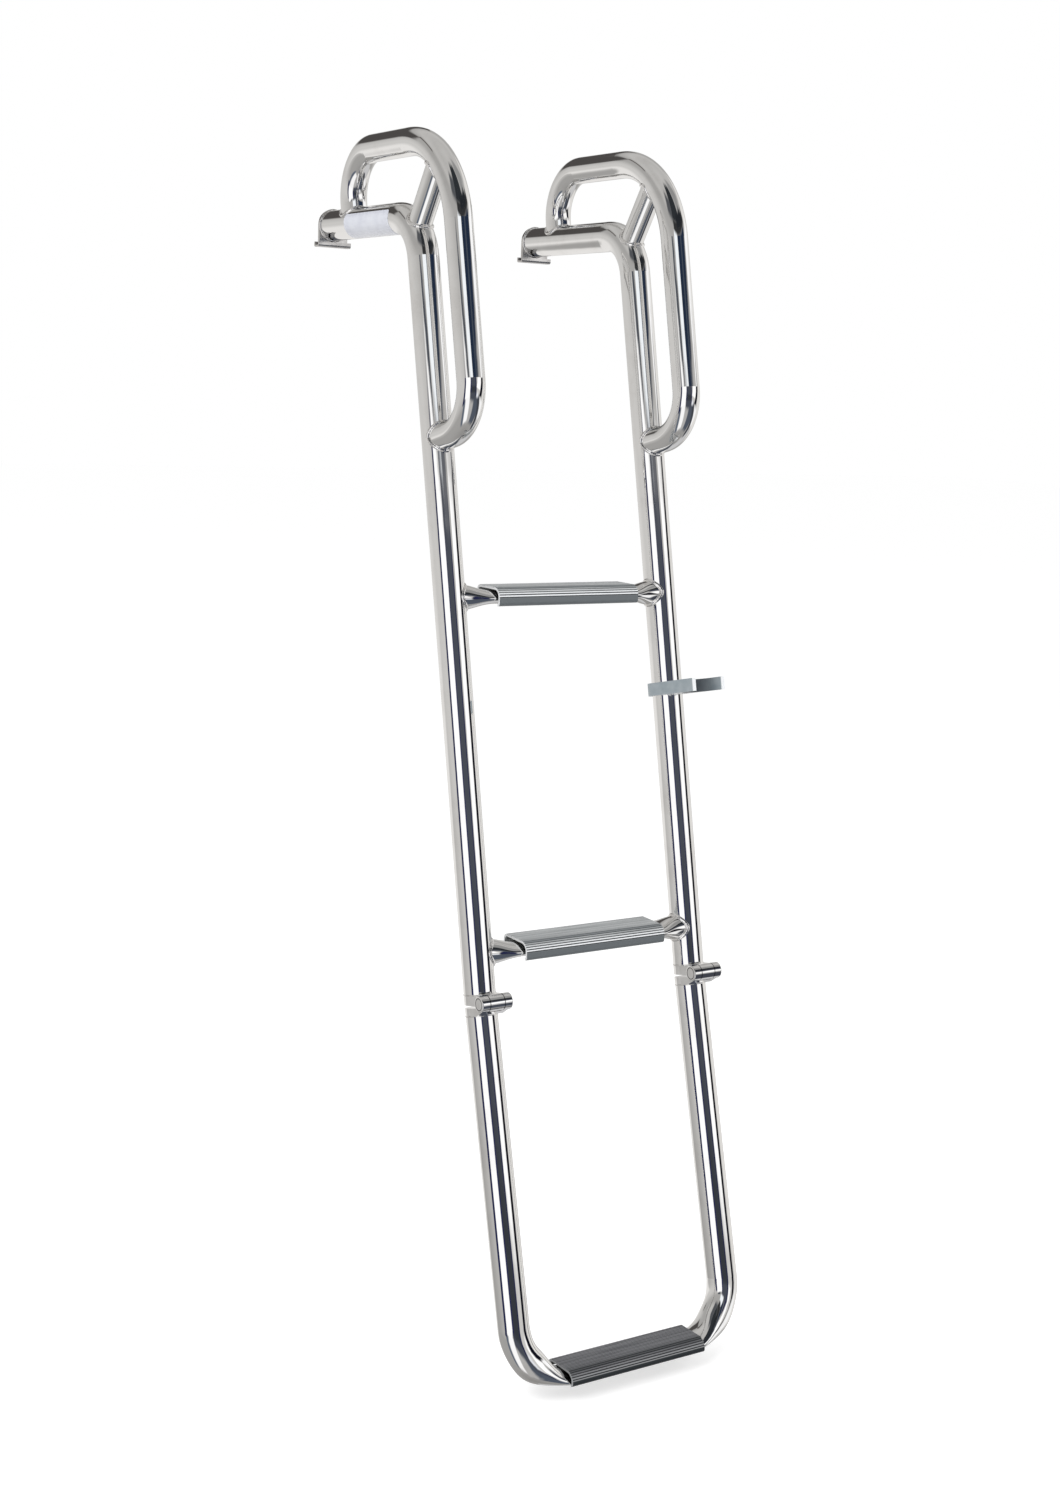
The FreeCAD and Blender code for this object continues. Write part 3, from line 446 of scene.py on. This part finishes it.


# treads: extruded plastic, pale where it was sawn off, with painted shade in its grooves, inside it and on its
# front band, and a painted highlight round its nose

# each tread's colours, with a pale painted highlight for its nose, painted shade for its grooves and its front
# band, and a pale colour for its sawn ends
treadColours = {
    "grey": {"low": (0.31, 0.325, 0.332, 1), "high": (0.5, 0.515, 0.52, 1),
             "groove": (0.03, 0.034, 0.038, 1), "wearAndHighlight": (0.86, 0.88, 0.9, 1),
             "edge": (0.2, 0.215, 0.224, 1), "frontShade": (0.138, 0.153, 0.163, 1), "cut": (0.88, 0.89, 0.9, 1)},
    "charcoal": {"low": (0.108, 0.111, 0.12, 1), "high": (0.185, 0.187, 0.198, 1),
                 "groove": (0.012, 0.014, 0.016, 1), "wearAndHighlight": (0.27, 0.275, 0.285, 1),
                 "edge": (0.062, 0.066, 0.07, 1), "frontShade": (0.022, 0.026, 0.029, 1),
                 "cut": (0.36, 0.37, 0.38, 1)},
}
# per tread: the middle of its nose's rounding in y and z, how many degrees it is tipped at rest, and how high
# the painted shade on its smooth front band reaches over that middle
treads = {
    "upper": {"nose": (-0.2291, -0.27214), "tip": 0.0, "frontShade": 0.0002},
    "middle": {"nose": (-0.28905, -0.54257), "tip": 0.0, "frontShade": 0.0002},
    "bottom": {"nose": (-0.37583, -0.86386), "tip": 2.9, "frontShade": 0.0014},
}
# angles are in degrees round the nose, from its top towards the front
treadFinish = {
    "roughness": 0.34,
    "noseRound": 0.008,
    "grooveDepth": 0.0007,
    "grooveRim": 0.00012,  # the painted groove shade starts this far under the ridges
    "grooveEnd": 0.0227,
    "grooveDark": (0.45, 1.0),  # how strong the painted groove shade is, from the top of the nose to its front
    "grooveDarkAt": (2.0, 70.0),
    "ridgePitch": 14.3,
    "lastGroove": 64.0,  # below this the ridges are too shallow to model, and their grooves are only painted shade
    "lastSoft": 1.0,
    "paintedHalf": 0.24,  # half of a painted-shade groove's width, as a share of the pitch
    "paintedSoft": 0.06,
    "edgeStart": {"edge": 6.0, "soft": 5.0},
    "edgeStop": {"edge": 34.0, "soft": 14.0},
    # from here round the nose the tread is paler: a painted highlight
    "highlightStart": {"edge": 56.0, "soft": 22.0},
    "frontShadeSoft": 0.0003,
    "tintAt": (0.42, 0.58),
    "stretch": (0.02, 1.0, 1.0),
    "streaks": {"Scale": 900.0, "Detail": 3.0, "Roughness": 0.6},
    "streakWeight": 0.45,
    "streakBump": {"Strength": 0.25, "Distance": 0.00003},
    "broad": {"Scale": 230.0, "Detail": 3.0},
    "broadWeight": 0.55,
    "speck": {"Scale": 1400.0, "Detail": 2.0},
    "speckBump": {"Strength": 0.2, "Distance": 0.00002},
}
sawnFace = {"edge": 0.9, "soft": 0.05}  # how squarely a face looks along the saw's way


def fromNose(tree, level):
    forward = mathNode(tree, "MAXIMUM", mathNode(tree, "MULTIPLY", axisNode(tree, level, "Y"), -1.0), 0.0)
    upward = mathNode(tree, "MAXIMUM", axisNode(tree, level, "Z"), 0.0)
    squares = mathNode(tree, "ADD", mathNode(tree, "MULTIPLY", forward, forward),
                       mathNode(tree, "MULTIPLY", upward, upward))
    angle = mathNode(tree, "DEGREES", mathNode(tree, "ARCTAN2", forward, upward))
    return angle, mathNode(tree, "SQRT", squares)


# painted shade: dark in the modelled grooves and inside the tread, and dark lines painted as grooves further
# round the nose
def grooveShare(tree, level, angle, reach):
    rim = treadFinish["noseRound"]
    bottom, top = rim - treadFinish["grooveDepth"], rim - treadFinish["grooveRim"]
    sunk = rangeNode(tree, reach, bottom, top, 1.0, 0.0)
    strength = rangeNode(tree, angle, *treadFinish["grooveDarkAt"], *treadFinish["grooveDark"])
    ahead = mathNode(tree, "LESS_THAN", axisNode(tree, level, "Y"), treadFinish["grooveEnd"])
    grooved = mathNode(tree, "MULTIPLY", mathNode(tree, "MULTIPLY", sunk, ahead), strength)
    turns = mathNode(tree, "ADD", mathNode(tree, "DIVIDE", angle, treadFinish["ridgePitch"]), 0.5)
    offset = mathNode(tree, "ABSOLUTE", mathNode(tree, "SUBTRACT", mathNode(tree, "FRACT", turns), 0.5))
    inGroove = riseNode(tree, offset, treadFinish["paintedHalf"], treadFinish["paintedSoft"], falling=True)
    below = riseNode(tree, angle, treadFinish["lastGroove"], treadFinish["lastSoft"])
    return mathNode(tree, "MAXIMUM", grooved, mathNode(tree, "MULTIPLY", inGroove, below))


def sawnMix(tree, facing, colour, cut):
    return mixNode(tree, riseNode(tree, mathNode(tree, "ABSOLUTE", facing), **sawnFace), colour, cut)


def treadPlastic(step, colours):
    tread = treads[step]
    material, tree, shader, place = newMaterial(step + "Tread")
    moved = vectorNode(tree, "SUBTRACT", place, (0, *tread["nose"]))
    level = turnedNode(tree, moved, (math.radians(tread["tip"]), 0, 0))
    angle, reach = fromNose(tree, level)
    drawn = stretchedNode(tree, level, treadFinish["stretch"])
    streaks = noiseNode(tree, drawn, treadFinish["streaks"])
    broad = noiseNode(tree, drawn, treadFinish["broad"])
    speck = noiseNode(tree, place, treadFinish["speck"])
    weighed = mathNode(tree, "MULTIPLY", broad, treadFinish["broadWeight"])
    both = addNode(tree, "Math", {0: streaks, 1: treadFinish["streakWeight"], 2: weighed},
                   operation="MULTIPLY_ADD").outputs[0]
    start, end = treadFinish["tintAt"]
    tint = rampNode(tree, both, [(start, colours["low"]), (end, colours["high"])])
    edge = mathNode(tree, "MULTIPLY", riseNode(tree, angle, **treadFinish["edgeStart"]),
                    riseNode(tree, angle, falling=True, **treadFinish["edgeStop"]))
    edged = mixNode(tree, edge, tint, colours["edge"])
    # painted highlight on the front of the nose
    wearAndHighlight = mixNode(tree, riseNode(tree, angle, **treadFinish["highlightStart"]), edged, colours["wearAndHighlight"])
    # painted shade in the grooves
    dark = mixNode(tree, grooveShare(tree, level, angle, reach), wearAndHighlight, colours["groove"])
    # painted shade: the front band below that height is darker
    frontShade = riseNode(tree, axisNode(tree, level, "Z"), tread["frontShade"], treadFinish["frontShadeSoft"], falling=True)
    frontShaded = mixNode(tree, frontShade, dark, colours["frontShade"])
    normal = addNode(tree, "NewGeometry").outputs["Normal"]
    sawn = sawnMix(tree, axisNode(tree, normal, "X"), frontShaded, colours["cut"])
    bump = bumpNode(tree, streaks, treadFinish["streakBump"])
    fine = bumpNode(tree, speck, treadFinish["speckBump"], below=bump)
    tree.links.new(sawn, shader.inputs["Base Color"])
    tree.links.new(fine, shader.inputs["Normal"])
    shader.inputs["Roughness"].default_value = treadFinish["roughness"]
    return material


# stowage clip: satin grey-blue plastic with paler sawn ends, painted shade inside its mouth and a pale tip
# that is partly its cut end and partly a painted highlight

clipFinish = {
    "colour": (0.265, 0.315, 0.345, 1),
    "light": (0.41, 0.45, 0.475, 1),
    "lightAt": (0.35, 0.9),
    "cut": (0.86, 0.88, 0.9, 1),
    "inside": (0.02, 0.024, 0.032, 1),
    "insideShadeStrength": 0.94,
    "roughness": 0.3,
    "mouthHalf": 0.01302,
    "mouthSoft": 0.0001,
    "seat": -0.0305,  # across from the stile's axis, as is the tip
    "tip": -0.0573,
    "tipSoft": 0.0003,
    "cloud": {"Scale": 90.0, "Detail": 4.0},
    "lines": {"Scale": 800.0, "Detail": 2.0},
    "lineBump": {"Strength": 0.3, "Distance": 0.00004},
    "stretch": (1.0, 1.0, 0.05),
}


def clipPlastic(name):
    material, tree, shader, place = newMaterial(name)
    drawn = stretchedNode(tree, turnedNode(tree, place, (ladder["lean"], 0, 0)), clipFinish["stretch"])
    cloud = noiseNode(tree, place, clipFinish["cloud"])
    lines = noiseNode(tree, drawn, clipFinish["lines"])
    start, end = clipFinish["lightAt"]
    tint = rampNode(tree, cloud, [(start, clipFinish["colour"]), (end, clipFinish["light"])])
    # painted shade: darker inside the mouth, most at its seat
    across = dotNode(tree, vectorNode(tree, "SUBTRACT", place, leaned(0, 0, 0)), leanedWay(1, 0))
    sideways = mathNode(tree, "SUBTRACT", axisNode(tree, place, "X"), ladder["stileX"]["right"])
    tip, seat = clipFinish["tip"], clipFinish["seat"]
    depth = rangeNode(tree, across, tip, seat, 0.0, clipFinish["insideShadeStrength"])
    mouth = riseNode(tree, mathNode(tree, "ABSOLUTE", sideways), clipFinish["mouthHalf"],
                     clipFinish["mouthSoft"], falling=True)
    shaded = mixNode(tree, mathNode(tree, "MULTIPLY", mouth, depth), tint, clipFinish["inside"])
    # pale tip of the arm: partly its cut end's colour and partly a painted highlight
    tipHighlight = riseNode(tree, across, tip, clipFinish["tipSoft"], falling=True)
    ended = mixNode(tree, tipHighlight, shaded, clipFinish["cut"])
    facing = dotNode(tree, addNode(tree, "NewGeometry").outputs["Normal"], leanedWay(0, 1))
    sawn = sawnMix(tree, facing, ended, clipFinish["cut"])
    bump = bumpNode(tree, lines, clipFinish["lineBump"])
    tree.links.new(sawn, shader.inputs["Base Color"])
    tree.links.new(bump, shader.inputs["Normal"])
    shader.inputs["Roughness"].default_value = clipFinish["roughness"]
    return material


finishes = {
    "uprightTube": polishedTube("uprightTube", (-ladder["lean"], 0, 0)),
    "crossTube": polishedTube("crossTube", (0, math.radians(90), 0)),
    "hingeSteel": workedSteel("hingeSteel", steelFinishes["hinge"], shadedGaps=True),
    "plateSteel": workedSteel("plateSteel", steelFinishes["plate"]),
    "weldSteel": workedSteel("weldSteel", steelFinishes["weld"]),
    "upperTread": treadPlastic("upper", treadColours["grey"]),
    "middleTread": treadPlastic("middle", treadColours["grey"]),
    "bottomTread": treadPlastic("bottom", treadColours["charcoal"]),
    "clipPlastic": clipPlastic("clipPlastic"),
}
# the finish that goes with the end of a node's name
nodeFinish = {
    "stile": "uprightTube",
    "handle": "uprightTube",
    "strut": "uprightTube",
    "lower_frame": "uprightTube",
    "rung": "crossTube",
    "fitting": "hingeSteel",
    "pin": "hingeSteel",
    "plate": "plateSteel",
    "strip": "plateSteel",
    "upper_tread": "upperTread",
    "middle_tread": "middleTread",
    "bottom_tread": "bottomTread",
    "clip": "clipPlastic",
}


def dressNodes():
    for name, node in nodes.items():
        ending = [word for word in nodeFinish if name.endswith(word)]
        finish = finishes[nodeFinish[max(ending, key=len)]]
        node.data.materials.clear()
        node.data.materials.append(finish)


dressNodes()
print("nodes dressed")


# helpers for new pieces: a seat pressed on to a CAD node, a wall, and faces that point outwards

def pressOn(piece, target, axis, forwards=False, **settings):
    seat = piece.modifiers.new("seat", "SHRINKWRAP")
    seat.target = nodes[target]
    seat.wrap_method = "PROJECT"
    setattr(seat, "use_project_" + axis, True)
    seat.use_positive_direction = forwards
    seat.use_negative_direction = not forwards
    for key, value in settings.items():
        setattr(seat, key, value)
    bpy.ops.object.modifier_apply(modifier="seat")


def addWall(piece, thick):
    wall = piece.modifiers.new("wall", "SOLIDIFY")
    wall.thickness = thick
    wall.offset = -1
    bpy.ops.object.modifier_apply(modifier="wall")


def faceOutwards(smoothTo):
    bpy.ops.object.mode_set(mode="EDIT")
    bpy.ops.mesh.select_all(action="SELECT")
    bpy.ops.mesh.normals_make_consistent(inside=False)
    bpy.ops.object.mode_set(mode="OBJECT")
    bpy.ops.object.shade_smooth_by_angle(angle=math.radians(smoothTo))


# rungs: round where they meet the stiles, then pressed evenly flatter until the tread hides them

rungs = {"upper": (-0.2185, -0.2729), "middle": (-0.27845, -0.5434)}  # y and z of each axis
rung = {
    "round": 0.0105,
    "wall": 0.0015,
    "around": 96,
    "start": 0.008,  # where the taper starts and ends, from the left stile's axis
    "end": 0.035,
    "steps": 16,
    "thick": (0.0208, 0.0108),  # at the taper's start and end
    "wide": (0.021, 0.029),
    "gap": 0.0003,
    "pressLimit": 0.05,
    "near": 0.0001,  # a ring's points lie this close to its place
    "smoothTo": 40,
}


def rungShare(reach):
    share = (reach - rung["start"]) / (rung["end"] - rung["start"])
    return share - math.sin(2 * math.pi * share) / (4 * math.pi)  # half as steep at both ends as an even taper


def rungScale(sizes, share):
    start, end = sizes
    return (start + (end - start) * share) / (2 * rung["round"])


def pressRings(tube, reach, centre):
    share = rungShare(reach)
    bpy.ops.object.mode_set(mode="EDIT")
    bpy.ops.mesh.select_all(action="DESELECT")
    bpy.ops.object.mode_set(mode="OBJECT")
    for vertex in tube.data.vertices:
        vertex.select = abs(abs(vertex.co.x - middleX) - (middleX - reach)) < rung["near"]
    bpy.ops.object.mode_set(mode="EDIT")
    flatter = (1, rungScale(rung["wide"], share), rungScale(rung["thick"], share))
    bpy.ops.transform.resize(value=flatter, center_override=centre)
    if reach == rung["start"]:
        bpy.ops.object.vertex_group_assign()
    bpy.ops.object.mode_set(mode="OBJECT")


def addRung(name, across, along):
    bpy.ops.object.select_all(action="DESELECT")
    centre = Vector((middleX, across, along))
    bpy.ops.mesh.primitive_cylinder_add(vertices=rung["around"], radius=rung["round"],
                                        depth=2 * (middleX - rung["start"]), end_fill_type="NOTHING",
                                        location=centre, rotation=(0, math.radians(90), 0))
    tube = bpy.context.object
    tube.name = name + "_rung_tube"
    bpy.ops.object.transform_apply(location=True, rotation=True, scale=True)
    taper = rung["end"] - rung["start"]
    reaches = [rung["start"] + taper * index / rung["steps"] for index in range(rung["steps"] + 1)]
    bpy.ops.object.mode_set(mode="EDIT")
    for reach in reaches[1:]:
        for x in (reach, 2 * middleX - reach):
            bpy.ops.mesh.select_all(action="SELECT")
            bpy.ops.mesh.bisect(plane_co=(x, across, along), plane_no=(1, 0, 0))
    bpy.ops.object.mode_set(mode="OBJECT")
    bpy.ops.object.vertex_group_add()
    for reach in reaches:
        pressRings(tube, reach, centre)
    addWall(tube, rung["wall"])
    for side in ladder["stileX"]:
        pressOn(tube, side + "_stile", "x", forwards=side == "right", vertex_group="Group",
                offset=rung["gap"], project_limit=rung["pressLimit"])
    faceOutwards(rung["smoothTo"])
    tube.data.materials.append(finishes["crossTube"])
    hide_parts(name + "_rung")
    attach(tube, "ladder")


for name, (across, along) in rungs.items():
    addRung(name, across, along)
print("rungs done")


# weld beads: a ring laid round each joint, pushed on to the tube and filled out with a slight ripple

bead = {"points": 180, "ripples": 36, "swell": 0.022, "thick": 0.0015, "roundness": 2}
# each ring's middle, the way that it faces and its radius; places and ways are on the leaning stile
welds = {
    "rung": {"inward": 0.02, "radius": 0.0112, "flatten": 0.92},
    "handle_front": {"middle": (-0.03, -0.174), "way": (-1, 0), "radius": 0.0113},
    "handle_back": {"middle": (0.1095, 0.055), "way": (0, 1), "radius": 0.0113},
    "strut": {"middle": (-0.0159, 0.01165), "way": (-45.4, 43.9)},
    "strut_foot": {"radius": 0.0099},
    "strut_head": {"radius": 0.0098},
    "end_plate": {"inboard": -0.0017, "radius": 0.0125, "thick": 0.0011},
    "stile_end": {"middle": (0, -0.6064), "way": (0, 1), "radius": 0.0124, "thick": 0.0006},
    "lower_end": {"middle": (0.021, -0.00965), "way": (0, 1), "radius": 0.0124, "thick": 0.0006},
}


def addBead(name, body, centre, away, weld, target=None):
    bpy.ops.object.select_all(action="DESELECT")
    turn = Vector((0, 0, 1)).rotation_difference(away).to_euler()
    bpy.ops.mesh.primitive_circle_add(vertices=bead["points"], radius=weld["radius"], location=centre,
                                      rotation=turn)
    ring = bpy.context.object
    ring.name = name
    ring.scale.x = weld.get("flatten", 1.0)
    if target:
        pressOn(ring, target, "z")
    bpy.ops.object.transform_apply(location=True, rotation=True, scale=True)
    bpy.ops.object.convert(target="CURVE")
    ring = bpy.context.object
    ring.data.dimensions = "3D"
    ring.data.fill_mode = "FULL"
    ring.data.bevel_depth = weld.get("thick", bead["thick"])
    ring.data.bevel_resolution = bead["roundness"]
    points = ring.data.splines[0].points
    for index, point in enumerate(points):
        point.radius = 1 + bead["swell"] * math.sin(index * bead["ripples"] * 2 * math.pi / len(points))
    bpy.ops.object.convert(target="MESH")
    ring = bpy.context.object
    bpy.ops.object.shade_smooth()
    ring.data.materials.clear()
    ring.data.materials.append(finishes["weldSteel"])
    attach(ring, body)


def addWelds(side, x):
    inward = 1 if side == "left" else -1
    stile = side + "_stile"
    for step, (across, along) in rungs.items():
        middle = Vector((x + inward * welds["rung"]["inward"], across, along))
        way = Vector((inward, 0, 0))
        addBead(side + "_" + step + "_rung_weld", "ladder", middle, way, welds["rung"], stile)
    for joint in ("handle_front", "handle_back"):
        weld = welds[joint]
        middle, way = leaned(x, *weld["middle"]), leanedWay(*weld["way"])
        addBead(side + "_" + joint + "_weld", "ladder", middle, way, weld, stile)
    middle = leaned(x, *welds["strut"]["middle"])
    strutWay = leanedWay(*welds["strut"]["way"]).normalized()
    addBead(side + "_strut_foot_weld", "ladder", middle, strutWay, welds["strut_foot"], stile)
    addBead(side + "_strut_head_weld", "ladder", middle, -strutWay, welds["strut_head"], side + "_handle")
    middle = Vector((x, welds["end_plate"]["inboard"], ladder["corner"][1]))
    addBead(side + "_end_plate_weld", "ladder", middle, Vector((0, 1, 0)), welds["end_plate"])
    weld = welds["stile_end"]
    middle, way = leaned(x, *weld["middle"]), leanedWay(*weld["way"])
    addBead(side + "_stile_end_weld", "ladder", middle, way, weld)
    # the lower tube's end is measured from the pins, on the lower section's own lean
    weld = welds["lower_end"]
    middle = Vector((x, *ladder["pinLine"])) + leanedWay(*weld["middle"], ladder["lowerLean"])
    way = leanedWay(*weld["way"], ladder["lowerLean"])
    addBead(side + "_lower_end_weld", "lower_section", middle, way, weld)


for side, x in ladder["stileX"].items():
    addWelds(side, x)
print("welds done")


# the bare film on the left arm's near side

film = {
    "from": -0.123,
    "to": -0.0455,
    "halfWidth": 0.0106,
    "tilt": -28,
    "startOff": 0.03,  # from the arm's axis, before it is pressed on
    "corner": 0.0025,
    "cornerSteps": 6,
    "strips": 26,
    "lift": 0.00013,
    "thick": 0.00009,
    "smoothTo": 30,
    "colour": (0.66, 0.68, 0.76, 1),
    "pale": (0.78, 0.8, 0.86, 1),
    "paleAt": (0.35, 0.7),
    "cloud": {"Scale": 45.0, "Detail": 3.0},
    "creases": {"Scale": 160.0, "Detail": 2.0},
    "creaseBump": {"Strength": 0.25, "Distance": 0.00006},
    "gloss": {"Roughness": 0.24, "Coat Weight": 0.4, "Coat Roughness": 0.08},
}


def filmMaterial():
    material, tree, shader, place = newMaterial("plainFilm")
    cloud = noiseNode(tree, place, film["cloud"])
    creases = noiseNode(tree, place, film["creases"])
    start, end = film["paleAt"]
    tint = rampNode(tree, cloud, [(start, film["colour"]), (end, film["pale"])])
    bump = bumpNode(tree, creases, film["creaseBump"])
    tree.links.new(tint, shader.inputs["Base Color"])
    tree.links.new(bump, shader.inputs["Normal"])
    for key, value in film["gloss"].items():
        shader.inputs[key].default_value = value
    return material


def addFilm():
    tilt = math.radians(film["tilt"])
    outward = Vector((-math.cos(tilt), 0, math.sin(tilt)))
    armWay = Vector((0, 1, 0))
    armMiddle = Vector((ladder["stileX"]["left"], (film["to"] + film["from"]) / 2, ladder["corner"][1]))
    centre = armMiddle + outward * film["startOff"]
    turn = Matrix((outward.cross(armWay) * -1, armWay, outward)).transposed()
    bpy.ops.object.select_all(action="DESELECT")
    bpy.ops.mesh.primitive_plane_add(size=1, location=centre, rotation=turn.to_euler())
    sheet = bpy.context.object
    sheet.name = "left_arm_film"
    sheet.scale = (2 * film["halfWidth"], film["to"] - film["from"], 1)
    bpy.ops.object.transform_apply(location=False, rotation=False, scale=True)
    bpy.ops.object.mode_set(mode="EDIT")
    bpy.ops.mesh.select_all(action="SELECT")
    bpy.ops.mesh.bevel(offset=film["corner"], segments=film["cornerSteps"], affect="VERTICES")
    across = turn @ Vector((1, 0, 0))
    for index in range(1, film["strips"]):
        share = index / film["strips"] * 2 - 1
        bpy.ops.mesh.select_all(action="SELECT")
        bpy.ops.mesh.bisect(plane_co=centre + across * share * film["halfWidth"], plane_no=across)
    bpy.ops.object.mode_set(mode="OBJECT")
    pressOn(sheet, "left_stile", "z", offset=film["lift"])
    addWall(sheet, film["thick"])
    bpy.ops.object.transform_apply(location=True, rotation=True, scale=True)
    faceOutwards(film["smoothTo"])
    sheet.data.materials.append(filmMaterial())
    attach(sheet, "ladder")


addFilm()
print("film done")
